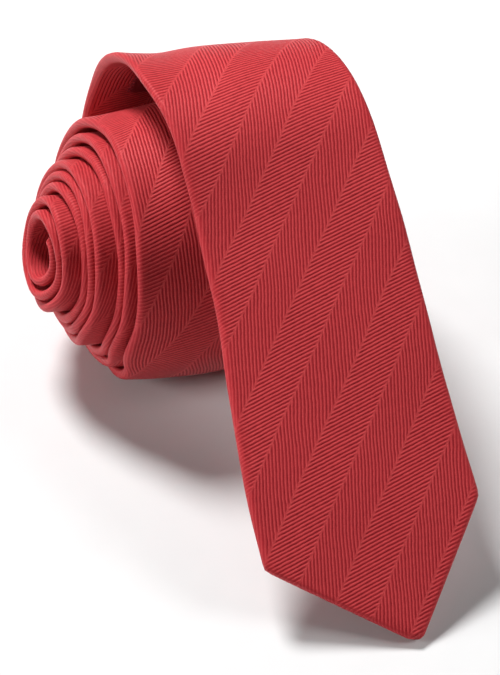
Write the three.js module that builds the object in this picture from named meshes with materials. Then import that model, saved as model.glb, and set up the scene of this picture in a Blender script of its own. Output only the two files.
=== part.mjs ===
// A slim herringbone necktie, rolled up from its tail, with the front blade brought
// over the roll and down to a pointed tip. Millimetres, +Z up, roll axis along X.
import * as THREE from 'three';

// ---- driving dimensions ----
const THICKNESS = 2.9;          // folded tie: shell, interlining, shell
const FABRIC = 0.45;            // one layer of shell
const EDGE_CHAMFER = 0.9;       // rounded fold at each long edge
const EDGE_WALL = 1.0;          // shell material inside each long edge
const SEAM_GAP = 0.9;           // slot between the two meeting edges on the reverse
const CLEARANCE = 0.3;          // between touching pieces
const HEM = 9;                  // folded hem beside the tipping

const COIL_RADIUS = 37.2;       // outside of the outermost turn, at the front
const COIL_PITCH = 3.4;         // from one turn to the next
const OUTER_LOOSENESS = 1.2;    // extra gap inside the outermost turn
const COIL_TURNS = 8.95;        // turns inside the outermost bottom point
const STEPS = 18;               // flat facets per turn
const COIL_LEAN = [[-37, 0], [-20, -0.8], [-13, -2], [0, 0], [37, 5.6]]; // sideways lean of every turn: [height, shift]

const ARCH_RADIUS = 40.4;       // middle of the cloth, over the roll
const ARCH_LIFT = 10.5;         // straight rise behind the roll
const ARCH_STEPS = 8;
const RAMP_DEG = 36.5;          // slope of the front blade
const RAMP_STEPS = 12;

const TIP_X = 50.8;             // sideways place of the point
const TIP_LEFT = 26.8;          // distance up the blade of each corner
const TIP_RIGHT = 34.6;
const TIP_BLUNT = 1.2;
const TAIL_TAPER = 16;

// long edges of the cloth along the roll's axis: [distance from the tip, place]
const LEFT_EDGE = [
  [26.8, 15.3], [42, 15.0], [60, 15.6], [75, 16.7], [97, 18.5], [122, 17.7], [142, 16.0],
  [160, 16.2], [180, 15.6], [195, 13.2], [208, 11.6], [222, 9.4], [250, 3], [292, -5.6],
];
const RIGHT_EDGE = [
  [34.6, 75], [56, 74.3], [76, 73.8], [96, 73.4], [119, 72.8], [133, 71.7], [150, 70.2],
  [160, 69], [185, 66.4], [222, 58], [250, 48.5], [292, 39],
];
// turns of the roll: [turn, left edge at mid height]
const TURN_LEFT = [
  [0, 0.1], [0.25, 0], [0.9, -0.5], [1.25, -2.2], [2.25, -2.8], [2.9, -3.8], [3.25, -7.8],
  [4.25, -8.7], [5.25, -9.1], [5.9, -10], [6.25, -13.1], [7.25, -14.4], [9, -14.6],
];
// width of the folded tie: [distance from the tip, width]
const WIDTH = [[292, 44.6], [420, 42], [700, 32], [1050, 30], [1400, 37], [1500, 38]];

// places of the joints and seams, as distance from the tip or as turns of the roll
const TIP_JOINT = 42;
const BEND_JOINT = 84;
const LIFT_JOINT = 128;
const ARCH_JOINT = 227;
const OPEN_END = 78;            // where the centre-back seam starts
const TURN_CUTS = [1, 3, 6];    // between the groups of turns that slide
const NECK_SEAM = 2.2;
const TAIL_SEAM = 4.3;

const HALF = THICKNESS / 2;
const rad = (d) => d * Math.PI / 180;
const lerp = (a, b, t) => a + (b - a) * t;

const lookUp = (table, at) => {
  if (at <= table[0][0]) return table[0][1];
  for (let i = 1; i < table.length; i++) {
    const [a, b] = [table[i - 1], table[i]];
    if (at <= b[0]) return lerp(a[1], b[1], (at - a[0]) / (b[0] - a[0]));
  }
  return table[table.length - 1][1];
};

// ---- the middle line of the cloth in the YZ plane, tip first ----
const coilRadius = (turn) => {
  const outer = COIL_RADIUS - HALF + COIL_PITCH * 0.25;
  if (turn < 0) return outer + COIL_PITCH * 0.25 * Math.min(1, -turn / 0.25)
    + (ARCH_RADIUS - outer - COIL_PITCH * 0.25) * Math.min(1, Math.max(0, (-turn - 0.5 / STEPS) / (0.25 - 0.5 / STEPS)));
  const loose = OUTER_LOOSENESS * Math.min(1, Math.max(0, turn - 0.25));
  return outer - COIL_PITCH * Math.max(0, turn - 0.5 / STEPS) - loose;
};
const bottomRadius = coilRadius(0.5 / STEPS);
const coilHeight = (bottomRadius + HALF) * Math.cos(Math.PI / STEPS);
const slope = rad(RAMP_DEG);
const archZ = coilHeight + ARCH_LIFT;
const rampTop = { y: -ARCH_RADIUS * Math.sin(slope), z: archZ + ARCH_RADIUS * Math.cos(slope) };
// the blunt end of the point rests on the table
const rampLength = (rampTop.z - HALF * Math.cos(slope)) / Math.sin(slope) + TIP_BLUNT;

const buildPath = () => {
  const path = [];
  const add = (y, z, ny, nz, turn = null) => path.push({ y, z, ny, nz, turn });
  for (let i = 0; i <= RAMP_STEPS; i++) {
    const run = rampLength * (1 - i / RAMP_STEPS);
    add(rampTop.y - run * Math.cos(slope), rampTop.z - run * Math.sin(slope), -Math.sin(slope), Math.cos(slope));
  }
  for (let i = 1; i <= ARCH_STEPS; i++) {
    const a = lerp(slope, -Math.PI / 2, i / ARCH_STEPS);
    add(-ARCH_RADIUS * Math.sin(a), archZ + ARCH_RADIUS * Math.cos(a), -Math.sin(a), Math.cos(a));
  }
  for (let k = -STEPS / 4; k <= COIL_TURNS * STEPS; k++) {
    const turn = k / STEPS;
    const a = turn * 2 * Math.PI;
    const r = Math.abs(k) < 0.6 ? bottomRadius : coilRadius(turn);
    add(-r * Math.sin(a), coilHeight - r * Math.cos(a), -Math.sin(a), -Math.cos(a), turn);
  }
  path[0].s = 0;
  for (let i = 1; i < path.length; i++) {
    path[i].s = path[i - 1].s + Math.hypot(path[i].y - path[i - 1].y, path[i].z - path[i - 1].z);
  }
  return path;
};
const path = buildPath();
const total = path[path.length - 1].s;
const turnToS = (turn) => {
  for (let i = 1; i < path.length; i++) {
    const [a, b] = [path[i - 1], path[i]];
    if (a.turn !== null && turn <= b.turn) return lerp(a.s, b.s, (turn - a.turn) / (b.turn - a.turn));
  }
  return total;
};

// ---- long edges, with the point of the blade and of the tail ----
const bodyEdges = (s, turn, z) => {
  if (turn === null || turn < 0) return [lookUp(LEFT_EDGE, s), lookUp(RIGHT_EDGE, s)];
  const left = lookUp(TURN_LEFT, turn) + lookUp(COIL_LEAN, z - coilHeight);
  return [left, left + lookUp(WIDTH, s)];
};
const edgesAt = (s, turn, z) => {
  let [left, right] = bodyEdges(s, turn, z);
  if (s < TIP_LEFT) left = lerp(TIP_X, left, s / TIP_LEFT);
  if (s < TIP_RIGHT) right = lerp(TIP_X, right, s / TIP_RIGHT);
  const end = total - s;
  if (end < TAIL_TAPER) {
    const mid = (left + right) / 2;
    const k = lerp(0.25, 1, end / TAIL_TAPER);
    left = lerp(mid, left, k);
    right = lerp(mid, right, k);
  }
  return [left, right];
};
const halfSlot = (s, left, right) => {
  const fromEnd = Math.min(s, total - s);
  const widest = (right - left) / 2 - HEM;
  const open = fromEnd < TIP_RIGHT ? 1 : Math.max(0, (OPEN_END - fromEnd) / (OPEN_END - TIP_RIGHT));
  return Math.max(SEAM_GAP / 2, widest * open);
};

const stationAt = (s) => {
  let i = 1;
  while (i < path.length - 1 && path[i].s < s) i++;
  const [a, b] = [path[i - 1], path[i]];
  const t = (s - a.s) / (b.s - a.s);
  const z = lerp(a.z, b.z, t);
  const turn = a.turn === null || b.turn === null ? b.turn === null ? null : b.turn - 1e-9 : lerp(a.turn, b.turn, t);
  const [left, right] = edgesAt(s, turn, z);
  const slot = halfSlot(s, left, right);
  return {
    s, left, right, seam: (left + right) / 2, slot,
    y: lerp(a.y, b.y, t), z, ny: lerp(a.ny, b.ny, t), nz: lerp(a.nz, b.nz, t),
  };
};
const stations = (from, to) => {
  const marks = path.map((p) => p.s).concat([TIP_LEFT, TIP_RIGHT, OPEN_END, 14, total - TAIL_TAPER, total - OPEN_END]);
  const inside = marks.filter((s) => s > from + 0.6 && s < to - 0.6).sort((p, q) => p - q)
    .filter((s, i, all) => i === 0 || s - all[i - 1] > 0.4);
  return [from, ...inside, to].map(stationAt);
};

// ---- closed bodies swept along the cloth ----
const sweep = (list, sectionOf) => {
  const rings = list.map((st) => sectionOf(st).map(([x, n]) => new THREE.Vector3(x, st.y + n * st.ny, st.z + n * st.nz)));
  const size = rings[0].length;
  const positions = rings.flat().flatMap((v) => [v.x, v.y, v.z]);
  const index = [];
  for (let i = 0; i + 1 < rings.length; i++) {
    for (let j = 0; j < size; j++) {
      const [a, b] = [i * size + j, i * size + (j + 1) % size];
      index.push(a, b, b + size, a, b + size, a + size);
    }
  }
  const cap = (st, offset, flip) => {
    const outline = sectionOf(st).map(([x, n]) => new THREE.Vector2(x, n));
    for (const [a, b, c] of THREE.ShapeUtils.triangulateShape(outline, [])) {
      index.push(offset + a, ...(flip ? [offset + c, offset + b] : [offset + b, offset + c]));
    }
  };
  cap(list[0], 0, true);
  cap(list[list.length - 1], (rings.length - 1) * size, false);
  let volume = 0;
  const at = (k) => new THREE.Vector3().fromArray(positions, 3 * k);
  for (let k = 0; k < index.length; k += 3) volume += at(index[k]).dot(at(index[k + 1]).cross(at(index[k + 2])));
  if (volume < 0) for (let k = 0; k < index.length; k += 3) [index[k + 1], index[k + 2]] = [index[k + 2], index[k + 1]];
  const geometry = new THREE.BufferGeometry();
  geometry.setAttribute('position', new THREE.Float32BufferAttribute(positions, 3));
  geometry.setIndex(index);
  return geometry;
};

const shellSection = ({ left, right, seam, slot }) => {
  const narrow = Math.min(1, (right - left) / 6);
  const c = EDGE_CHAMFER * narrow;
  const wall = EDGE_WALL * narrow;
  const gap = slot * narrow;
  const [inL, inR] = [left + wall, right - wall];
  return [
    [seam + gap, -HALF], [right - c, -HALF], [right, -HALF + c], [right, HALF - c], [right - c, HALF],
    [left + c, HALF], [left, HALF - c], [left, -HALF + c], [left + c, -HALF], [seam - gap, -HALF],
    [seam - gap, -HALF + FABRIC], [inL, -HALF + FABRIC], [inL, HALF - FABRIC],
    [inR, HALF - FABRIC], [inR, -HALF + FABRIC], [seam + gap, -HALF + FABRIC],
  ];
};
const bar = (from, to, low, high) => [[from, low], [to, low], [to, high], [from, high]];
const CORE_HALF = HALF - FABRIC - 0.25;
const interliningSection = ({ left, right }) => bar(left + EDGE_WALL + CLEARANCE, right - EDGE_WALL - CLEARANCE, -CORE_HALF, CORE_HALF);
const threadSection = ({ seam }) => bar(seam - 0.15, seam + 0.15, -HALF + 0.05, -HALF + 0.35);
const tippingSection = ({ seam, slot }) => bar(seam - slot + CLEARANCE / 2, seam + slot - CLEARANCE / 2, -HALF, -HALF + 0.4);
const onReverse = (halfWidth, lift, thick) => ({ seam }) => bar(seam - halfWidth, seam + halfWidth, -HALF - lift - thick, -HALF - lift);
const keeperSection = ({ seam }) => {
  const [wide, foot] = [19, 3];
  const [near, bridge, far] = [-HALF - CLEARANCE, -HALF - 1.6, -HALF - 2.3];
  return [
    [seam - wide, near], [seam - wide, far], [seam + wide, far], [seam + wide, near],
    [seam + wide - foot, near], [seam + wide - foot, bridge], [seam - wide + foot, bridge], [seam - wide + foot, near],
  ];
};

// ---- the pieces ----
const silk = { color: 0xb93540, roughness: 0.62, metalness: 0 };
const canvas = { color: 0xe6dfd0, roughness: 0.95, metalness: 0 };
const lining = { color: 0x9c2832, roughness: 0.45, metalness: 0 };
const thread = { color: 0xa82a35, roughness: 0.6, metalness: 0 };
const woven = { color: 0x7d1f28, roughness: 0.7, metalness: 0 };

const tie = new THREE.Group();
tie.name = 'necktie';
const put = (name, from, to, section, look) => {
  const mesh = new THREE.Mesh(sweep(stations(from, to), section), new THREE.MeshStandardMaterial({ ...look, name }));
  mesh.name = name;
  tie.add(mesh);
};

const half = CLEARANCE / 2;
const cuts = TURN_CUTS.map(turnToS);
const neck = turnToS(NECK_SEAM);
const tail = turnToS(TAIL_SEAM);
const spans = {
  blade_tip: [TIP_BLUNT, TIP_JOINT - half],
  blade_middle: [TIP_JOINT + half, BEND_JOINT - half],
  blade_upper: [BEND_JOINT + half, LIFT_JOINT - half],
  arch: [LIFT_JOINT + half, ARCH_JOINT - half],
  coil_outer: [ARCH_JOINT + half, cuts[0] - half],
  coil_middle: [cuts[0] + half, cuts[1] - half],
  coil_inner: [cuts[1] + half, cuts[2] - half],
  coil_core: [cuts[2] + half, total],
};
for (const [name, [from, to]] of Object.entries(spans)) {
  const seam = name === 'coil_middle' ? neck : name === 'coil_inner' ? tail : null;
  const panels = { coil_middle: ['front_panel', 'neck_panel'], coil_inner: ['neck_panel', 'tail_panel'] }[name];
  if (seam) {
    put(`${panels[0]}_${name}`, from, seam - half, shellSection, silk);
    put(`${panels[1]}_${name}`, seam + half, to, shellSection, silk);
  } else {
    put(`${name === 'coil_core' ? 'tail_panel' : 'front_panel'}_${name}`, from, to, shellSection, silk);
  }
  const coreFrom = name === 'blade_tip' ? 14 : from + 0.1;
  const coreTo = name === 'coil_core' ? total - 8 : to - 0.1;
  put(`interlining_${name}`, coreFrom, coreTo, interliningSection, canvas);
  if (name !== 'blade_tip') {
    const start = name === 'blade_middle' ? OPEN_END + 0.4 : from + 0.1;
    const stop = name === 'coil_core' ? total - OPEN_END - 0.4 : to - 0.1;
    put(`slip_stitch_${name}`, start, stop, threadSection, thread);
  }
}
put('tipping_blade_tip', 12, TIP_JOINT - half, tippingSection, lining);
put('tipping_blade_middle', TIP_JOINT + half, OPEN_END - 3, tippingSection, lining);
put('tipping_tail', total - OPEN_END + 6, total - 10, tippingSection, lining);
put('bar_tack_blade', OPEN_END + 0.6, OPEN_END + 2.6, onReverse(1.6, CLEARANCE, 0.5), thread);
put('bar_tack_tail', total - OPEN_END + 0.6, total - OPEN_END + 4.6, tippingSection, thread);
put('keeper_loop', 175, 183, keeperSection, silk);
put('label_blank', 189, 209, onReverse(17, CLEARANCE, 0.5), woven);

// ---- origin at the middle of the base ----
const box = new THREE.Box3().setFromObject(tie);
const shift = new THREE.Vector3(-(box.min.x + box.max.x) / 2, -(box.min.y + box.max.y) / 2, -box.min.z);
for (const mesh of tie.children) mesh.geometry.translate(shift.x, shift.y, shift.z);

export default tie;
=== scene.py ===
"""A slim herringbone necktie, rolled up from its tail, its front blade brought over the roll.

The cloth is one folded strip. Every piece is placed by cloth coordinates: distance along the
strip from its point, place across it, and height above its middle. Millimetres in the helpers,
metres in the meshes.
"""

import math

import bpy
import numpy as np
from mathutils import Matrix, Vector


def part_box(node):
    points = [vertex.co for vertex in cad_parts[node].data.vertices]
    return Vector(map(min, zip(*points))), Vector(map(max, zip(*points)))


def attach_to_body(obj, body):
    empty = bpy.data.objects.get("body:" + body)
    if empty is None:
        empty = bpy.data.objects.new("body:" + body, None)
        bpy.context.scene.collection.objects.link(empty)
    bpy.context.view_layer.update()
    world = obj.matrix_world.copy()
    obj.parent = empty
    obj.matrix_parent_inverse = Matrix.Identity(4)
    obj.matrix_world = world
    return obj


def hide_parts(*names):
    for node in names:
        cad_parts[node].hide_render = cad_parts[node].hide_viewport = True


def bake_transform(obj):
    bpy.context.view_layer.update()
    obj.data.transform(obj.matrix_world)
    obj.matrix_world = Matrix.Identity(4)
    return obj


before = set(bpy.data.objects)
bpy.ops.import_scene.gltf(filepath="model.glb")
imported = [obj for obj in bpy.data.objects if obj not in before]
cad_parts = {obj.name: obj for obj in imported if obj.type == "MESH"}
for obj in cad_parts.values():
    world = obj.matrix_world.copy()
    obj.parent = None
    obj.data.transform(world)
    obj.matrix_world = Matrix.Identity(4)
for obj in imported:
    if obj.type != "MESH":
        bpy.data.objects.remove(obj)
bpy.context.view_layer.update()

MM = 0.001

# ---- the tie's driving dimensions, as in the CAD model ----
THICKNESS = 2.9
HALF = THICKNESS / 2
FABRIC = 0.5
HEM = 9.0
COIL_RADIUS = 37.2
COIL_PITCH = 3.4
OUTER_LOOSENESS = 1.2
COIL_TURNS = 8.95
FACET = 1 / 18
ARCH_RADIUS = 40.4
ARCH_LIFT = 10.5
RAMP_SLOPE = math.radians(36.5)
TIP_X, TIP_LEFT, TIP_RIGHT, TIP_START = 50.8, 26.8, 34.6, 1.5
OPEN_END = 78.0
TAIL_TAPER = 16.0
NECK_SEAM, TAIL_SEAM = 2.2, 4.3
BEAD, BEAD_PUFF, CROWN = 1.55, 0.04, 0.45
CANVAS_HALF, CANVAS_INSET = 0.68, 1.5
LINING_LOW, LINING_HIGH, LINING_INSET = -1.32, -0.92, 0.12
CLOTH_MIDDLE = 45.0
INNER_THINNER = 0.06
PUSHED_END, PUSHED_LIFT = 7.5, 0.13
CORE_SQUEEZE = 0.28

# Long edges of the cloth: (distance from the point, place across). The points on the blade began as
# photo marks that a scratch program projected onto the cloth; the later ones were set against the photo.
LEFT_EDGE = [
    (26.8, 15.3), (42, 15.2), (60, 15.8), (75, 16.9), (97, 18.6), (112, 18.5), (122, 18.5), (132, 18.2),
    (142, 17.7), (149, 16.9), (156, 15.6), (162, 14.5), (168, 13.9), (175, 13.2), (182, 12.2), (189, 11.2),
    (196, 10.5), (208, 9.3), (222, 6.6), (250, 1.8), (292, -5.6),
]
RIGHT_EDGE = [
    (34.6, 75.6), (56, 74.3), (76, 73.8), (96, 73.5), (119, 73.1), (133, 72.7), (150, 71.8),
    (160, 70.8), (185, 67.9), (222, 58.6), (250, 48.5), (292, 39),
]
# Left edge of the roll's turns at mid height: (turn, place), a quarter turn apart, tuned to the photo.
TURN_LEFT = [
    (0, -1.4), (0.25, 1.3), (0.45, 0.6), (0.6, -2.2), (0.75, -4.2), (1, -5.2), (1.25, -1.2), (1.45, -1.8),
    (1.6, -4), (1.75, -6), (2, -6.4), (2.25, -2.1), (2.45, -3), (2.6, -6), (2.8, -8.9), (3, -11),
    (3.25, -7.4), (3.5, -8.2), (3.75, -11.8), (4, -12.6), (4.25, -8.2), (4.5, -9.6), (4.75, -12.4),
    (5, -13), (5.25, -8.9), (5.5, -11.2), (5.75, -13.6), (6, -16.9), (6.25, -13.6), (6.5, -14.8),
    (6.75, -16.6), (7, -17.6), (7.25, -14.7), (7.5, -16.2), (7.75, -17.2), (8, -17.2), (8.25, -15.2),
    (8.5, -16), (9, -15.4),
]
# How much wider than an even spiral the roll lies at each quarter turn: (turn, extra radius).
COIL_EASE = [
    (0, 0), (0.25, 0.1), (0.5, 1.5), (0.75, 0.7), (1, -0.3), (1.25, 0.2), (1.5, 0.9), (1.75, 0.5), (2, 0.1),
    (2.25, 0.15), (2.5, 0.6), (2.75, 0.4), (3, 0.1), (3.25, 0.2), (3.5, 0.7), (3.75, 0.5), (4, 0.2),
    (4.25, 0.5), (4.5, 1.2), (4.75, 0.9), (5, 0.5), (5.25, 0.8), (5.5, 1.7), (5.75, 1.2), (6, 0.4),
    (6.25, 0.8), (6.5, 1.6), (6.75, 1.1), (7, 0.6), (7.25, 0.7), (7.5, 1.3), (7.75, 0.9), (8, 0.6),
    (8.25, 0.2), (8.5, 0.5), (8.75, -0.6), (9, -2.2),
]
# Sideways lean of every turn: (height from the roll's middle, shift).
COIL_LEAN = [(-37, 0), (-20, -0.8), (-13, -2), (0, 0), (37, 5.6)]
# Width of the folded tie: (distance from the point, width).
WIDTH = [(292, 44.6), (420, 42), (700, 32), (1050, 30), (1400, 37), (1500, 38)]


def step(low, high, x):
    """0 below low, 1 above high, smooth between."""
    t = np.clip((np.asarray(x, float) - low) / (high - low), 0, 1)
    return t * t * (3 - 2 * t)


def curve_through(points):
    """A smooth function through the given (place, value) points."""
    xs, ys = np.array(points, float).T
    slopes = np.gradient(ys, xs)

    def at(x):
        x = np.clip(np.asarray(x, float), xs[0], xs[-1])
        i = np.clip(np.searchsorted(xs, x, side="right") - 1, 0, len(xs) - 2)
        h = xs[i + 1] - xs[i]
        t = (x - xs[i]) / h
        return (
            (1 + 2 * t) * (1 - t) ** 2 * ys[i]
            + t * (1 - t) ** 2 * h * slopes[i]
            + t * t * (3 - 2 * t) * ys[i + 1]
            + t * t * (t - 1) * h * slopes[i + 1]
        )

    return at


left_edge, right_edge = curve_through(LEFT_EDGE), curve_through(RIGHT_EDGE)
turn_left, lean, width_at = curve_through(TURN_LEFT), curve_through(COIL_LEAN), curve_through(WIDTH)
ease = curve_through(COIL_EASE)


# ---- the middle line of the cloth, in the YZ plane ----
def coil_radius(turn):
    outer = COIL_RADIUS - HALF + COIL_PITCH * 0.25
    if turn < 0:
        return outer + (ARCH_RADIUS - outer) * min(1.0, -turn / 0.25)
    loose = OUTER_LOOSENESS * min(1.0, max(0.0, turn - 0.25))
    return outer - COIL_PITCH * max(0.0, turn - FACET / 2) - loose


COIL_Z = (coil_radius(0) + HALF) * math.cos(math.pi * FACET)
ARCH_Z = COIL_Z + ARCH_LIFT
COIL_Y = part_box("front_panel_arch")[1].y / MM - ARCH_RADIUS - HALF
SHIFT_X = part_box("front_panel_blade_tip")[1].x / MM - 75


def middle_line():
    """(distance, y, z, turn) at fine steps from the point of the blade to the end of the tail."""
    top_y, top_z = -ARCH_RADIUS * math.sin(RAMP_SLOPE), ARCH_Z + ARCH_RADIUS * math.cos(RAMP_SLOPE)
    ramp = (top_z - HALF * math.cos(RAMP_SLOPE)) / math.sin(RAMP_SLOPE) + 1.2
    line = []
    for i in range(270):
        run = ramp * (1 - i / 270)
        line.append((top_y - run * math.cos(RAMP_SLOPE), top_z - run * math.sin(RAMP_SLOPE), -9))
    for i in range(180):
        a = RAMP_SLOPE - (RAMP_SLOPE + math.pi / 2) * i / 180
        line.append((-ARCH_RADIUS * math.sin(a), ARCH_Z + ARCH_RADIUS * math.cos(a), -9))
    for i in range(20):
        line.append((ARCH_RADIUS, ARCH_Z - ARCH_LIFT * i / 20, -9))
    count = round((COIL_TURNS + 0.25) * 360)
    for i in range(count + 1):
        turn = -0.25 + (COIL_TURNS + 0.25) * i / count
        a, r = turn * 2 * math.pi, coil_radius(turn) + float(ease(max(turn, 0)))
        squeeze = 1 - CORE_SQUEEZE * float(step(7.8, 8.6, turn))
        line.append((-r * math.sin(a) * squeeze, COIL_Z - r * math.cos(a), turn))
    y, z, turn = np.array(line).T
    s = np.concatenate([[0], np.cumsum(np.hypot(np.diff(y), np.diff(z)))])
    even = np.arange(0, s[-1], 0.5)
    y, z, turn = (np.interp(even, s, v) for v in (y, z, turn))
    reach = np.arange(-12, 13)
    weight = np.exp(-((reach * 0.5 / 2.2) ** 2) / 2)
    weight /= weight.sum()

    def eased(v):
        before = [v[0] - (v[1] - v[0]) * k for k in range(12, 0, -1)]
        after = [v[-1] + (v[-1] - v[-2]) * k for k in range(1, 13)]
        return np.convolve(np.concatenate([before, v, after]), weight, "valid")

    return even, eased(y), eased(z), turn


LINE_S, LINE_Y, LINE_Z, LINE_TURN = middle_line()
TY, TZ = np.gradient(LINE_Y, LINE_S), np.gradient(LINE_Z, LINE_S)
LENGTH = LINE_S[-1]


def turn_to_s(turn):
    return float(np.interp(turn, LINE_TURN[LINE_TURN > -1], LINE_S[LINE_TURN > -1]))


def turn_at(s):
    return np.interp(s, LINE_S, LINE_TURN)


def edges(s):
    """Left and right edge of the folded tie, with the points of the blade and the tail."""
    s = np.asarray(s, float)
    turn = turn_at(s)
    z = np.interp(s, LINE_S, LINE_Z)
    coil_left = turn_left(turn) + lean(z - COIL_Z)
    on_coil = step(-0.12, 0.03, turn)
    left = left_edge(s) * (1 - on_coil) + coil_left * on_coil
    right = right_edge(s) * (1 - on_coil) + (coil_left + width_at(s)) * on_coil
    left = left + (0.22 * np.sin(s / 9.1) + 0.16 * np.sin(s / 4.7 + 1.1)) * (0.3 + 0.7 * on_coil)
    right = right + 0.08 * np.sin(s / 8.3 + 2.0) + 0.05 * np.sin(s / 4.1)
    slant_left = TIP_X + (LEFT_EDGE[0][1] - TIP_X) * s / TIP_LEFT
    slant_right = TIP_X + (RIGHT_EDGE[0][1] - TIP_X) * s / TIP_RIGHT
    left = (slant_left + left + np.sqrt((slant_left - left) ** 2 + 0.5)) / 2
    right = (slant_right + right - np.sqrt((slant_right - right) ** 2 + 0.5)) / 2
    nose = np.clip((s - TIP_START) / 1.0, 0.01, 1)
    blunt = np.sqrt(1 - (1 - nose) ** 2)
    left, right = TIP_X + (left - TIP_X) * blunt, TIP_X + (right - TIP_X) * blunt
    tail = np.clip((LENGTH - s) / TAIL_TAPER, 0, 1)
    middle = (left + right) / 2
    half = (right - left) / 2 * (0.25 + 0.75 * tail)
    return middle - half, middle + half


def half_slot(s, left, right):
    """Half the opening between the two folded edges on the reverse."""
    from_end = np.minimum(s, LENGTH - s)
    widest = (right - left) / 2 - HEM
    opening = np.clip((OPEN_END - from_end) / (OPEN_END - TIP_RIGHT), 0, 1)
    return np.maximum(0.3, widest * opening)


def swell(s, x, turn):
    """How far the cloth stands off its plain path: a conical arch, a flared outer turn, soft waves."""
    left, right = edges(s)
    across = x - (left + right) / 2
    arch = step(108, 150, s) * (1 - step(205, 250, s))
    offset = -0.085 * across * arch
    offset += 0.9 * np.exp(-np.clip(x - left, 0, None) / 3.5) * step(145, 165, s) * (1 - step(200, 240, s))
    offset -= 0.9 * np.exp(-(((x - left - 13) / 7) ** 2)) * step(145, 165, s) * (1 - step(200, 240, s))
    flare = step(-0.15, 0.05, turn) * (1 - step(0.5, 0.75, turn))
    offset += (0.09 * np.clip(x - left, 0, 22) - 1.0) * flare
    flat = 1 - step(118, 150, s)
    wave = 0.28 * np.sin(s / 21 + 0.4) * np.sin(x / 17 + 0.9) + 0.14 * np.sin(s / 8.5 + x / 13)
    offset += wave * flat * step(4, 30, s)
    return offset


def place(s, x, n):
    """Cloth coordinates to row-frame points, in metres."""
    s, x, n = np.broadcast_arrays(np.asarray(s, float), np.asarray(x, float), np.asarray(n, float))
    turn = turn_at(s)
    y, z = np.interp(s, LINE_S, LINE_Y), np.interp(s, LINE_S, LINE_Z)
    ty, tz = np.interp(s, LINE_S, TY), np.interp(s, LINE_S, TZ)
    size = np.hypot(ty, tz)
    off = n * (1 - INNER_THINNER * step(0.6, 1.1, turn)) + swell(s, x, turn)
    y = y - off * tz / size
    z = z + off * ty / size
    tilt = step(-0.25, 0.05, turn)
    z = z + tilt * PUSHED_LIFT * np.logaddexp(0, (PUSHED_END - x) / 2) * 2
    z = (z + np.sqrt(z * z + 0.02)) / 2
    return np.stack([(x + SHIFT_X), y + COIL_Y, z], axis=-1) * MM


# ---- meshes ----
def mesh_object(name, points, faces, uvs=None, normals=None, first_cap=None, fold=None):
    """A mesh in the scene; faces from first_cap on are flat ends, the rest take the given normals."""
    mesh = bpy.data.meshes.new(name)
    mesh.from_pydata(points.tolist(), [], faces)
    if fold is not None:
        mesh.attributes.new("fold", "FLOAT", "POINT").data.foreach_set("value", fold.astype(np.float32))
    mesh.polygons.foreach_set("use_smooth", [True] * len(mesh.polygons))
    loop_vertex = np.zeros(len(mesh.loops), np.int64)
    mesh.loops.foreach_get("vertex_index", loop_vertex)
    if uvs is not None:
        layer = mesh.uv_layers.new(name="cloth")
        layer.data.foreach_set("uv", uvs[loop_vertex].astype(np.float32).ravel())
    if normals is not None:
        loop_normals = normals[loop_vertex]
        for polygon in mesh.polygons:
            if polygon.index >= first_cap:
                for k in polygon.loop_indices:
                    loop_normals[k] = polygon.normal
        mesh.normals_split_custom_set(loop_normals.tolist())
    mesh.update()
    item = bpy.data.objects.new(name, mesh)
    bpy.context.scene.collection.objects.link(item)
    return item


def swept(name, rows, section):
    """A closed body: section(rows) gives x, n and u over each row of the cloth, round its outline."""
    inner = np.asarray(rows, float)
    ghost = 0.4
    s = np.concatenate([[inner[0] - ghost], inner, [inner[-1] + ghost]])
    x, n, u = section(np.clip(s, TIP_START, LENGTH))
    left, right = edges(np.clip(s, TIP_START, LENGTH))
    fold = 1 - step(0.6, 2.6, np.minimum(x - left[:, None], right[:, None] - x))
    fold = np.maximum(fold, 0.65 * step(0.7, 1.3, turn_at(s))[:, None])
    grid = place(s[:, None], x, n)
    along = grid[2:] - grid[:-2]
    round_it = np.roll(grid, -1, axis=1)[1:-1] - np.roll(grid, 1, axis=1)[1:-1]
    normal = np.cross(round_it, along)
    normal /= np.maximum(np.linalg.norm(normal, axis=-1, keepdims=True), 1e-12)
    grid = grid[1:-1]
    count, size = grid.shape[:2]
    a = np.arange(count - 1)[:, None] * size + np.arange(size)[None]
    b = np.arange(count - 1)[:, None] * size + (np.arange(size)[None] + 1) % size
    faces = np.stack([a, b, b + size, a + size], axis=-1).reshape(-1, 4)
    middle = grid.mean(axis=1, keepdims=True)
    if ((grid - middle) * normal).sum() < 0:
        normal = -normal
    edge_a, edge_b = grid[:-1, 1:] - grid[:-1, :-1], grid[1:, :-1] - grid[:-1, :-1]
    if (np.cross(edge_a, edge_b) * normal[:-1, :-1]).sum() < 0:
        faces = faces[:, ::-1]
        low, high = list(range(size)), [(count - 1) * size + k for k in reversed(range(size))]
    else:
        low, high = list(reversed(range(size))), [(count - 1) * size + k for k in range(size)]
    faces = faces.tolist() + [low, high]
    uvs = np.stack([u[1:-1], np.repeat(s[1:-1, None], size, axis=1)], axis=-1).reshape(-1, 2)
    return mesh_object(
        name, grid.reshape(-1, 3), faces, uvs, normal.reshape(-1, 3), len(faces) - 2, fold[1:-1].ravel()
    )


def drift(s):
    """How far the strip's middle has moved sideways, which the weave follows, with a skew on the roll."""
    left, right = edges(s)
    skew = 0.26 * 7 * np.logaddexp(0, (turn_to_s(0.45) - s) / 7) * step(-0.25, 0, turn_at(s))
    return ((left + right) / 2 - CLOTH_MIDDLE) * step(140, 230, s) + skew


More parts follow.
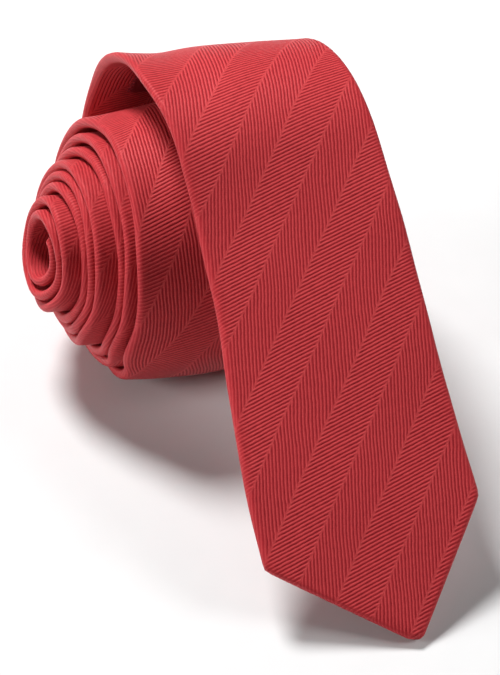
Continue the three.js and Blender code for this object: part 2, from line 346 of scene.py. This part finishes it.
def shell_section(rows):
    """The folded cloth: front face, two rolled edges, and a reverse that meets at a slot."""
    left, right = edges(rows)
    slot = half_slot(rows, left, right)
    seam = (left + right) / 2
    narrow = np.clip((right - left) / 5, 0.25, 1)
    slot = np.minimum(slot, (right - left) * 0.3)
    half = HALF * narrow
    bead = BEAD * narrow
    fabric = FABRIC * narrow
    at = lambda values: np.repeat(np.asarray(values, float)[None], len(rows), axis=0)
    col = lambda v: v[:, None]
    t = at(np.linspace(0, 1, 9)[1:])
    lip_right = col(seam + slot)
    back_right = col(seam + slot + 0.25) + t * col(right - bead - seam - slot - 0.25)
    angle = at(np.linspace(-math.pi / 2, math.pi / 2, 11)[1:-1])
    puff = 1 + BEAD_PUFF * np.cos(angle) ** 0.5
    bead_x = col(right - bead) + col(bead) * np.cos(angle)
    bead_n = col(half) * np.sin(angle) * puff
    across = at(np.linspace(0, 1, 30))
    front_x = col(right - bead) + across * col(left + bead - right + bead)
    crown = np.clip(CROWN * (1 - (2 * across - 1) ** 2), 0, None)
    crown = crown + 0.1 * np.exp(-((across * (1 - across) / 0.03) ** 2))
    front_n = col(half) + crown * col(narrow * (1 - 0.85 * step(-0.1, 0.15, turn_at(rows))))
    left_x = col(left + bead) - col(bead) * np.cos(angle)
    left_n = -bead_n
    back_left = col(left + bead) + at(np.linspace(0, 1, 9)[:-1]) * col(seam - slot - 0.25 - left - bead)
    lip_left = col(seam - slot)
    inner_t = at(np.linspace(0, 1, 7))
    inner_x = col(left + 1.1 * narrow) + inner_t * col(right - left - 2.2 * narrow)
    ones = np.ones((len(rows), 1))
    x = np.concatenate([
        lip_right, back_right, bead_x, front_x, left_x, back_left, lip_left, lip_left,
        col(left + 1.1 * narrow), col(left + 0.75 * narrow), inner_x, col(right - 0.75 * narrow),
        col(right - 1.1 * narrow), lip_right,
    ], axis=1)
    n = np.concatenate([
        col(-half + 0.2 * narrow), -col(half) * np.ones_like(back_right), bead_n, front_n, left_n,
        -col(half) * np.ones_like(back_left), col(-half + 0.2 * narrow), col(-half + fabric),
        col(-half + fabric), 0 * ones, col(half - fabric) + 0 * inner_t, 0 * ones,
        col(-half + fabric), col(-half + fabric),
    ], axis=1)
    arc = math.pi * 1.5 * narrow
    over_right = col(right - bead + arc) + (col(right - bead) - back_right)
    over_left = col(left + bead - arc) - (back_left - col(left + bead))
    turned = (angle + math.pi / 2) / math.pi
    u = np.concatenate([
        over_right[:, :1], over_right, col(right - bead) + col(arc) * (1 - turned), front_x,
        col(left + bead) - col(arc) * turned, over_left, over_left[:, -1:], over_left[:, -1:],
        lip_left, lip_left, inner_x, lip_right, lip_right, lip_right,
    ], axis=1)
    return x, n, u - col(drift(rows))


def strip_section(inset, low, high, columns=10, follow_slot=None):
    """A flat layer inside or on the tie: from n low to high, inset from the edges or from the slot."""

    def section(rows):
        left, right = edges(rows)
        middle = (left + right) / 2
        if follow_slot is None:
            wide = np.maximum((right - left) / 2 - inset, 0.3)
        else:
            wide = np.maximum(half_slot(rows, left, right) - inset, 0.15)
        narrow = np.clip((right - left) / 5, 0.25, 1)[:, None]
        across = np.linspace(-1, 1, columns)[None]
        over = middle[:, None] + across * wide[:, None]
        x = np.concatenate([over, over[:, ::-1]], axis=1)
        soft = 0.12 * (np.abs(across) > 0.97)
        n = np.concatenate([(high - soft) + 0 * over, (low + soft) + 0 * over], axis=1) * narrow
        return x, n, x - drift(rows)[:, None]

    return section


def tube(points, radius, sides=6):
    """Vertices and faces of a closed tube along points, in metres."""
    points = np.asarray(points, float)
    tangent = np.gradient(points, axis=0)
    tangent /= np.linalg.norm(tangent, axis=1, keepdims=True)
    guide = np.array([0.3, 0.2, 1.0])
    side = np.cross(tangent, guide)
    side /= np.linalg.norm(side, axis=1, keepdims=True)
    other = np.cross(tangent, side)
    angle = np.arange(sides) * 2 * math.pi / sides
    taper = np.ones(len(points))
    taper[0] = taper[-1] = 0.45
    ring = side[:, None] * np.cos(angle)[None, :, None] + other[:, None] * np.sin(angle)[None, :, None]
    vertices = (points[:, None] + ring * (radius * MM * taper)[:, None, None]).reshape(-1, 3)
    faces = []
    for i in range(len(points) - 1):
        for j in range(sides):
            k = (j + 1) % sides
            faces.append([i * sides + j, (i + 1) * sides + j, (i + 1) * sides + k, i * sides + k])
    faces.append(list(range(sides)))
    faces.append([(len(points) - 1) * sides + j for j in reversed(range(sides))])
    return vertices, faces


def joined_tubes(name, routes, radius):
    """One mesh of many short tubes."""
    vertices, faces = [], []
    for route in routes:
        v, f = tube(route, radius)
        base = sum(len(p) for p in vertices)
        vertices.append(v)
        faces += [[k + base for k in face] for face in f]
    return mesh_object(name, np.concatenate(vertices), faces)


# ---- materials ----
class Nodes:
    """A small writer of shader node trees."""

    def __init__(self, name):
        self.material = bpy.data.materials.new(name)
        self.material.use_nodes = True
        self.tree = self.material.node_tree
        self.tree.nodes.clear()
        self.out = self.tree.nodes.new("ShaderNodeOutputMaterial")
        self.shader = self.tree.nodes.new("ShaderNodeBsdfPrincipled")
        self.link(self.shader.outputs[0], self.out.inputs["Surface"])

    def link(self, source, target):
        self.tree.links.new(source, target)

    def feed(self, node, index, value):
        if hasattr(value, "is_output"):
            self.link(value, node.inputs[index])
        else:
            node.inputs[index].default_value = value

    def math(self, kind, a, b=None, c=None):
        node = self.tree.nodes.new("ShaderNodeMath")
        node.operation = kind
        for i, value in enumerate((a, b, c)):
            if value is not None:
                self.feed(node, i, value)
        return node.outputs[0]

    def mix(self, amount, a, b):
        node = self.tree.nodes.new("ShaderNodeMix")
        node.data_type = "RGBA"
        node.clamp_factor = True
        self.feed(node, 0, amount)
        self.feed(node, 6, a if hasattr(a, "is_output") else (*a, 1))
        self.feed(node, 7, b if hasattr(b, "is_output") else (*b, 1))
        return node.outputs[2]

    def noise(self, vector, scale, detail=3.0, roughness=0.5):
        node = self.tree.nodes.new("ShaderNodeTexNoise")
        self.link(vector, node.inputs["Vector"])
        node.inputs["Scale"].default_value = scale
        node.inputs["Detail"].default_value = detail
        node.inputs["Roughness"].default_value = roughness
        return node.outputs["Fac"]

    def cloth(self):
        """The cloth's own coordinates in millimetres: across, along, and both as a vector."""
        uv = self.tree.nodes.new("ShaderNodeUVMap")
        uv.uv_map = "cloth"
        split = self.tree.nodes.new("ShaderNodeSeparateXYZ")
        self.link(uv.outputs[0], split.inputs[0])
        return split.outputs[0], split.outputs[1], uv.outputs[0]

    def solid(self):
        node = self.tree.nodes.new("ShaderNodeTexCoord")
        return node.outputs["Object"]

    def fold(self):
        """1 on the rolled edges of the cloth, 0 on its flat faces."""
        node = self.tree.nodes.new("ShaderNodeAttribute")
        node.attribute_name = "fold"
        return node.outputs["Fac"]

    def bump(self, height, distance, strength=1.0, after=None):
        node = self.tree.nodes.new("ShaderNodeBump")
        node.inputs["Strength"].default_value = strength
        node.inputs["Distance"].default_value = distance
        self.link(height, node.inputs["Height"])
        if after is not None:
            self.link(after, node.inputs["Normal"])
        return node.outputs[0]

    def along(self, x, y, degrees):
        """Distance across lines that run at this many degrees from the cloth's length, towards +X."""
        a = math.radians(degrees)
        over, up = self.math("MULTIPLY", x, math.cos(a)), self.math("MULTIPLY", y, math.sin(a))
        return self.math("SUBTRACT", over, up)


BAND_LEAN = 37.0
BAND_PERIOD = 20.8
BAND_SHARE = 0.51
BAND_PHASE = -0.26
RIB_STEEP = 10.3
RIB_FLAT = 74.2
RIB_PITCH = 0.92


def herringbone():
    """Twill ribs that change direction from band to band, with a painted highlight along the rib tops, sheen
    and a thread's unevenness.
    """
    k = Nodes("herringbone_silk")
    x, y, uv = k.cloth()
    waver = k.math("MULTIPLY", k.math("SUBTRACT", k.noise(uv, 0.05, 2), 0.5), 1.6)
    shiver = k.math("MULTIPLY", k.math("SUBTRACT", k.noise(uv, 0.7, 2), 0.5), 0.28)
    x = k.math("ADD", x, waver)
    band = k.math("FRACT", k.math("ADD", k.math("DIVIDE", k.along(x, y, BAND_LEAN), BAND_PERIOD), BAND_PHASE))
    steep = k.math("LESS_THAN", band, BAND_SHARE)
    rib_a = k.math("FRACT", k.math("DIVIDE", k.math("ADD", k.along(x, y, RIB_STEEP), shiver), RIB_PITCH))
    rib_b = k.math("FRACT", k.math("DIVIDE", k.math("ADD", k.along(x, y, RIB_FLAT), shiver), RIB_PITCH))
    flat_share = k.math("SUBTRACT", 1.0, steep)
    rib = k.math("ADD", k.math("MULTIPLY", rib_a, steep), k.math("MULTIPLY", rib_b, flat_share))
    away = k.math("ABSOLUTE", k.math("SUBTRACT", k.math("MULTIPLY", rib, 2.0), 1.0))
    ridge = k.math("SUBTRACT", 1.0, k.math("POWER", away, 2.2))
    to_edge = k.math("MINIMUM", k.math("ABSOLUTE", k.math("SUBTRACT", band, BAND_SHARE)),
                     k.math("MINIMUM", band, k.math("SUBTRACT", 1.0, band)))
    line = k.math("LESS_THAN", to_edge, 0.32 / BAND_PERIOD)
    yarn = k.noise(uv, 2.6, 2, 0.6)
    streak = k.noise(uv, 0.55, 3, 0.6)
    cloud = k.noise(uv, 0.045, 3)
    pile = k.math("ADD", ridge, k.math("MULTIPLY", k.math("SUBTRACT", yarn, 0.5), 0.5))
    pile = k.math("MAXIMUM", pile, k.math("MULTIPLY", line, 0.7))
    pulled = k.math("MULTIPLY", k.fold(), 0.72)
    kept = k.math("MULTIPLY", pile, k.math("SUBTRACT", 1.0, pulled))
    pile = k.math("ADD", kept, k.math("MULTIPLY", pulled, 0.68))
    worn = k.math("MULTIPLY", k.math("SUBTRACT", streak, 0.5), 0.9)
    colour = k.mix(k.math("ADD", pile, worn), SILK_GROOVE, SILK_RIB)
    shade = k.mix(k.math("MULTIPLY", steep, 0.35), colour, k.mix(pile, SILK_GROOVE, SILK_RIB_STEEP))
    # Painted highlight: a thin bright line near the top of each rib, and a weaker one along the band lines.
    # It is mixed into the base colour with thread noise and dimmed on the rolled edges.
    peak = k.math("SUBTRACT", 1.0, k.math("MULTIPLY", k.math("ABSOLUTE", k.math("SUBTRACT", rib, 0.38)), 5.5))
    top = k.math("MAXIMUM", peak, k.math("MULTIPLY", line, 0.35))
    painted_glint = k.math("MULTIPLY", top, k.math("MULTIPLY", yarn, 0.95))
    painted_glint = k.math("MULTIPLY", painted_glint, k.math("SUBTRACT", 1.0, k.math("MULTIPLY", pulled, 0.6)))
    shade = k.mix(k.math("MULTIPLY", cloud, 0.35), shade, SILK_SHADE)
    k.link(k.mix(painted_glint, shade, SILK_PAINTED_GLINT), k.shader.inputs["Base Color"])
    rough = k.math("ADD", 0.44, k.math("MULTIPLY", k.math("SUBTRACT", 1.0, pile), 0.22))
    k.link(rough, k.shader.inputs["Roughness"])
    k.shader.inputs["Specular IOR Level"].default_value = 0.3
    k.shader.inputs["Specular Tint"].default_value = (1.0, 0.22, 0.22, 1)
    k.shader.inputs["Sheen Weight"].default_value = 0.05
    k.shader.inputs["Sheen Roughness"].default_value = 0.4
    k.shader.inputs["Sheen Tint"].default_value = (1.0, 0.25, 0.28, 1)
    fine = k.bump(yarn, 0.00006, 0.4)
    k.link(k.bump(pile, 0.00016, 0.75, fine), k.shader.inputs["Normal"])
    return k.material


# SILK_PAINTED_GLINT is the colour of the painted highlight on the rib tops.
SILK_PAINTED_GLINT = (0.74, 0.125, 0.120)
SILK_RIB = (0.57, 0.044, 0.052)
SILK_RIB_STEEP = (0.54, 0.036, 0.046)
SILK_GROOVE = (0.19, 0.006, 0.010)
SILK_SHADE = (0.32, 0.012, 0.022)


def satin():
    k = Nodes("lining_satin")
    x, y, uv = k.cloth()
    weft = k.math("SINE", k.math("MULTIPLY", y, 2 * math.pi / 0.28))
    slub = k.noise(uv, 0.9, 3)
    cloud = k.noise(uv, 0.06, 2)
    k.link(k.mix(k.math("ADD", k.math("MULTIPLY", slub, 0.5), k.math("MULTIPLY", cloud, 0.5)),
                 (0.24, 0.010, 0.018), (0.42, 0.026, 0.036)), k.shader.inputs["Base Color"])
    k.link(k.math("ADD", 0.3, k.math("MULTIPLY", slub, 0.18)), k.shader.inputs["Roughness"])
    k.shader.inputs["Specular IOR Level"].default_value = 0.35
    k.shader.inputs["Specular Tint"].default_value = (1.0, 0.3, 0.3, 1)
    k.link(k.bump(weft, 0.00003, 0.5, k.bump(slub, 0.00008, 0.4)), k.shader.inputs["Normal"])
    return k.material


def canvas():
    k = Nodes("brushed_canvas")
    where = k.solid()
    fuzz = k.noise(where, 2400, 4, 0.7)
    cloud = k.noise(where, 90, 2)
    k.link(k.mix(k.math("ADD", k.math("MULTIPLY", fuzz, 0.6), k.math("MULTIPLY", cloud, 0.4)),
                 (0.55, 0.50, 0.42), (0.86, 0.82, 0.74)), k.shader.inputs["Base Color"])
    k.link(k.math("ADD", 0.8, k.math("MULTIPLY", fuzz, 0.18)), k.shader.inputs["Roughness"])
    k.shader.inputs["Sheen Weight"].default_value = 0.3
    k.link(k.bump(fuzz, 0.00015, 0.6), k.shader.inputs["Normal"])
    return k.material


def twisted_thread():
    k = Nodes("sewing_thread")
    where = k.solid()
    wave = k.tree.nodes.new("ShaderNodeTexWave")
    wave.bands_direction = "DIAGONAL"
    wave.inputs["Scale"].default_value = 900
    wave.inputs["Distortion"].default_value = 1.0
    k.link(where, wave.inputs["Vector"])
    colour = k.mix(wave.outputs["Fac"], (0.18, 0.008, 0.014), (0.42, 0.030, 0.040))
    k.link(colour, k.shader.inputs["Base Color"])
    k.link(k.math("ADD", 0.42, k.math("MULTIPLY", wave.outputs["Fac"], 0.2)), k.shader.inputs["Roughness"])
    k.shader.inputs["Specular Tint"].default_value = (1.0, 0.3, 0.3, 1)
    k.link(k.bump(wave.outputs["Fac"], 0.00005, 0.8), k.shader.inputs["Normal"])
    return k.material


def label_tape():
    k = Nodes("label_tape")
    x, y, uv = k.cloth()
    over = k.math("SINE", k.math("MULTIPLY", x, 2 * math.pi / 0.42))
    under = k.math("SINE", k.math("MULTIPLY", y, 2 * math.pi / 0.42))
    weave = k.math("MULTIPLY", over, under)
    slub = k.noise(uv, 1.4, 3)
    k.link(k.mix(k.math("ADD", k.math("MULTIPLY", weave, 0.25), k.math("MULTIPLY", slub, 0.6)),
                 (0.14, 0.008, 0.014), (0.30, 0.02, 0.03)), k.shader.inputs["Base Color"])
    k.link(k.math("ADD", 0.55, k.math("MULTIPLY", slub, 0.2)), k.shader.inputs["Roughness"])
    k.shader.inputs["Specular IOR Level"].default_value = 0.25
    k.shader.inputs["Specular Tint"].default_value = (1.0, 0.3, 0.3, 1)
    k.link(k.bump(weave, 0.00006, 0.6), k.shader.inputs["Normal"])
    return k.material


LOOKS = {
    "shell": herringbone(),
    "lining": satin(),
    "canvas": canvas(),
    "thread": twisted_thread(),
    "label": label_tape(),
}


def dress(item, slot):
    item.data.materials.append(LOOKS[slot])


# ---- how each stretch of cloth moves ----
def on_line(s):
    return tuple(float(v) for v in place(s, (TIP_X + CLOTH_MIDDLE) / 2, 0.0))


def level(z):
    return (0.0, COIL_Y * MM, z * MM)


TOP, BOTTOM = COIL_Z + COIL_RADIUS, 0.0


def down_the_back(inset):
    """The bend of a half turn at the back, from its top to its bottom."""
    return level(TOP - inset), level(BOTTOM + inset)


T = turn_to_s
# (name, from, to, bodies, start and end of the bend, CAD node it stands for)
STRETCHES = [
    ("blade_tip", TIP_START, 63, ("blade_tip", "blade_middle"), (on_line(33), on_line(51)),
     "front_panel_blade_tip"),
    ("blade_middle", 63, 106, ("blade_middle", "blade_upper"), (on_line(75), on_line(93)),
     "front_panel_blade_middle"),
    ("blade_upper", 106, 175, ("blade_upper", "arch"), (on_line(116), on_line(140)),
     "front_panel_blade_upper"),
    ("arch", 175, T(0), ("arch", "coil_outer"), (level(58), level(32)), "front_panel_arch"),
    ("coil_outer", T(0), T(0.5), ("coil_outer",), None, "front_panel_coil_outer"),
    ("coil_outer_back", T(0.5), T(1), ("coil_outer", "coil_middle"), down_the_back(0), None),
    ("coil_middle", T(1), T(NECK_SEAM), ("coil_middle",), None, "front_panel_coil_middle"),
    ("neck_coil_middle", T(NECK_SEAM), T(2.5), ("coil_middle",), None, "neck_panel_coil_middle"),
    ("neck_coil_back", T(2.5), T(3), ("coil_middle", "coil_inner"), down_the_back(9), None),
    ("neck_coil_inner", T(3), T(TAIL_SEAM), ("coil_inner",), None, "neck_panel_coil_inner"),
    ("tail_coil_inner", T(TAIL_SEAM), T(5.5), ("coil_inner",), None, "tail_panel_coil_inner"),
    ("tail_coil_back", T(5.5), T(6), ("coil_inner", "coil_core"), down_the_back(19), None),
    ("tail_coil_core", T(6), LENGTH, ("coil_core",), None, "tail_panel_coil_core"),
]


def attach(item, bodies, bend):
    if bend is None:
        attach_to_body(item, bodies[0])
    else:
        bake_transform(item)


def rows_between(low, high, spacing):
    """Row places, closer together near the point of the blade."""
    count = max(2, round((high - low) / spacing))
    rows = np.linspace(low, high, count + 1)
    if low < 2:
        near = low + (np.linspace(0, 1, 14) ** 2) * 6
        rows = np.concatenate([near, rows[rows > near[-1] + 0.5]])
    return rows


def slip_stitches(name, low, high):
    """Short slanted stitches that close the reverse, over one long thread in the fold."""
    routes = []
    for s in np.arange(low + 2, high - 3, 6.5):
        t = np.linspace(0, 1, 5)
        seam = float(np.mean(edges(np.array([s]))))
        lift = -HALF - 0.16 * np.sin(math.pi * t) + 0.14
        routes.append(place(s + 1.8 * t, seam - 0.8 + 1.6 * t, lift))
    run = np.linspace(low + 0.3, high - 0.3, max(3, int((high - low) / 2)))
    left, right = edges(run)
    routes.append(place(run, (left + right) / 2, -HALF + 0.25))
    return joined_tubes(name, routes, 0.13)


for name, low, high, bodies, bend, node in STRETCHES:
    fine = 1.5 if high < 300 else 2.0
    shell = swept("shell_" + name, rows_between(low, high, fine), shell_section)
    dress(shell, "shell")
    attach(shell, bodies, bend)
    if node:
        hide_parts(node)
    widths = np.subtract(*edges(np.linspace(low, high, 40))[::-1])

    core_low, core_high = max(low, 14), min(high, LENGTH - 8)
    core_section = strip_section(CANVAS_INSET, -CANVAS_HALF, CANVAS_HALF)
    core = swept("canvas_" + name, rows_between(core_low, core_high, 3.0), core_section)
    dress(core, "canvas")
    attach(core, bodies, bend)
    widths = np.subtract(*edges(np.linspace(core_low, core_high, 40))[::-1]) - 2 * CANVAS_INSET
    if node:
        body = bodies[0]
        target = "interlining_" + body
        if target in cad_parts:
            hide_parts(target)

    stitch_low, stitch_high = max(low, OPEN_END), min(high, LENGTH - OPEN_END)
    if stitch_high - stitch_low > 5:
        stitches = slip_stitches("seam_thread_" + name, stitch_low, stitch_high)
        dress(stitches, "thread")
        attach(stitches, bodies, bend)
        target = "slip_stitch_" + bodies[0]
        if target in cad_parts:
            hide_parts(target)

for name, low, high, bodies, bend in [
    ("blade_tip", 11, 63, STRETCHES[0][3], STRETCHES[0][4]),
    ("blade_middle", 63, OPEN_END - 3, STRETCHES[1][3], STRETCHES[1][4]),
    ("tail", LENGTH - OPEN_END + 6, LENGTH - 10, ("coil_core",), None),
]:
    lining = swept(
        "lining_" + name,
        rows_between(low, high, 1.5),
        strip_section(LINING_INSET, LINING_LOW, LINING_HIGH, 16, follow_slot=True),
    )
    dress(lining, "lining")
    attach(lining, bodies, bend)
    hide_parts("tipping_" + name)
    rows = np.linspace(low, high, 40)
    widths = 2 * (half_slot(rows, *edges(rows)) - LINING_INSET)


def bar_tack(name, s, node, bodies, bend):
    """Close satin stitches across the end of the seam."""
    routes = []
    seam = float(np.mean(edges(np.array([s]))))
    for i in range(9):
        at = s + 0.3 * i
        t = np.linspace(0, 1, 6)
        lift = -HALF - 0.32 * np.sin(math.pi * t) + 0.1
        routes.append(place(at + 0.06 * t, seam - 1.9 + 3.8 * t, lift))
    tack = joined_tubes(name, routes, 0.16)
    dress(tack, "thread")
    attach(tack, bodies, bend)
    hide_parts(node)


bar_tack("bar_tack_blade_thread", OPEN_END + 0.5, "bar_tack_blade", STRETCHES[1][3], STRETCHES[1][4])
bar_tack("bar_tack_tail_thread", LENGTH - OPEN_END + 1, "bar_tack_tail", ("coil_core",), None)


def keeper():
    """A narrow loop of the shell's cloth, tacked at both ends, that holds the tail."""
    low, high, wide = 175.0, 183.0, 19.0

    def grid():
        across = np.linspace(-wide, wide, 40)
        angle = np.linspace(0, 2 * math.pi, 18, endpoint=False)
        middle = float(np.mean(edges(np.array([(low + high) / 2]))))
        lift = step(0, 4.5, wide - np.abs(across))
        centre = -HALF - 0.72 - 1.2 * lift
        s = (low + high) / 2 + (high - low) / 2 * np.sign(np.cos(angle)) * np.abs(np.cos(angle)) ** 0.35
        n = 0.36 * np.sign(np.sin(angle)) * np.abs(np.sin(angle)) ** 0.6
        return place(s[None], middle + across[:, None], centre[:, None] + n[None]), s, across

    points, s, across = grid()
    count, size = points.shape[:2]
    faces = []
    for i in range(count - 1):
        for j in range(size):
            k = (j + 1) % size
            faces.append([i * size + j, i * size + k, (i + 1) * size + k, (i + 1) * size + j])
    faces.append(list(reversed(range(size))))
    faces.append([(count - 1) * size + k for k in range(size)])
    uvs = np.stack(np.broadcast_arrays(s[None] * 1.0, across[:, None] + 11.0), axis=-1).reshape(-1, 2)
    loop = mesh_object("keeper_loop_cloth", points.reshape(-1, 3), faces, uvs)
    dress(loop, "shell")
    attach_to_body(loop, "arch")
    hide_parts("keeper_loop")
    routes = []
    middle = float(np.mean(edges(np.array([179.0]))))
    for side in (-1, 1):
        for i in range(5):
            t = np.linspace(0, 1, 5)
            at = middle + side * (wide - 1.6 - 0.1 * i)
            routes.append(place(176 + 6 * t, at + 0.1 * t, -HALF - 1.12 - 0.1 * np.sin(math.pi * t)))
    tacks = joined_tubes("keeper_loop_stitches", routes, 0.14)
    dress(tacks, "thread")
    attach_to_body(tacks, "arch")


keeper()


def label():
    """A blank woven label, thinner along its two short sides, whip-stitched down them."""

    def section(rows):
        left, right = edges(rows)
        middle = ((left + right) / 2)[:, None]
        across = np.linspace(-17, 17, 20)[None] + 0 * middle
        x = np.concatenate([middle + across, middle + across[:, ::-1]], axis=1)
        soft = 0.1 * (np.abs(across) > 16.5)
        top, low = -HALF - 0.35 - soft, -HALF - 0.75 + soft
        return x, np.concatenate([top, low], axis=1), np.concatenate([across, across[:, ::-1]], axis=1)

    tape = swept("label_tape_blank", rows_between(189, 209, 1.0), section)
    dress(tape, "label")
    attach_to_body(tape, "arch")
    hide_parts("label_blank")
    routes = []
    for side in (-1, 1):
        for s in np.arange(190.2, 208.5, 1.6):
            t = np.linspace(0, 1, 5)
            middle = float(np.mean(edges(np.array([s]))))
            routes.append(place(s + 0.7 * t, middle + side * (16.2 + 1.5 * t), -HALF - 0.8 + 0.75 * t ** 2))
    whip = joined_tubes("label_stitches", routes, 0.09)
    dress(whip, "thread")
    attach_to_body(whip, "arch")


label()

# ---- the floor, the light and the camera ----
def floor():
    k = Nodes("paper_floor")
    grain = k.noise(k.solid(), 60, 3)
    k.link(k.mix(grain, (0.74, 0.74, 0.74), (0.78, 0.78, 0.78)), k.shader.inputs["Base Color"])
    k.shader.inputs["Roughness"].default_value = 0.85
    mesh = bpy.data.meshes.new("floor")
    mesh.from_pydata([(-3, -3, 0), (3, -3, 0), (3, 3, 0), (-3, 3, 0)], [], [(0, 1, 2, 3)])
    plane = bpy.data.objects.new("floor", mesh)
    mesh.materials.append(k.material)
    bpy.context.scene.collection.objects.link(plane)


floor()


def area_light(name, location, aim, size, power):
    light = bpy.data.lights.new(name, "AREA")
    light.shape = "DISK"
    light.size = size
    light.energy = power
    item = bpy.data.objects.new(name, light)
    item.location = location
    item.rotation_euler = (Vector(aim) - Vector(location)).to_track_quat("-Z", "Y").to_euler()
    bpy.context.scene.collection.objects.link(item)


MIDDLE = (0.0, 0.0, 0.04)
area_light("key", (-0.22, 0.6, 1.0), MIDDLE, 0.35, 16.8)
area_light("side", (-1.2, 0.04, 0.42), MIDDLE, 0.5, 7.6)
area_light("fill", (1.05, -0.52, 0.95), MIDDLE, 0.6, 7.1)

world = bpy.data.worlds.new("studio")
world.use_nodes = True
world.node_tree.nodes["Background"].inputs["Color"].default_value = (1, 1, 1, 1)
world.node_tree.nodes["Background"].inputs["Strength"].default_value = 0.05
bpy.context.scene.world = world
bpy.context.scene.view_settings.view_transform = "Standard"

CAMERA_AZIMUTH, CAMERA_ELEVATION = math.radians(-16.3), math.radians(41.5)
CAMERA_DISTANCE = 0.8
TARGET = Vector((31.7 + SHIFT_X, COIL_Y - 42.0, COIL_Z - 3.9)) * MM
camera_data = bpy.data.cameras.new("camera")
camera_data.lens = 158.8
camera_data.sensor_width = 36.0
camera = bpy.data.objects.new("camera", camera_data)
toward = Vector((
    math.sin(CAMERA_AZIMUTH) * math.cos(CAMERA_ELEVATION),
    -math.cos(CAMERA_AZIMUTH) * math.cos(CAMERA_ELEVATION),
    math.sin(CAMERA_ELEVATION),
))
camera.location = TARGET + toward * CAMERA_DISTANCE
camera.rotation_euler = (-toward).to_track_quat("-Z", "Y").to_euler()
bpy.context.scene.collection.objects.link(camera)
bpy.context.scene.camera = camera
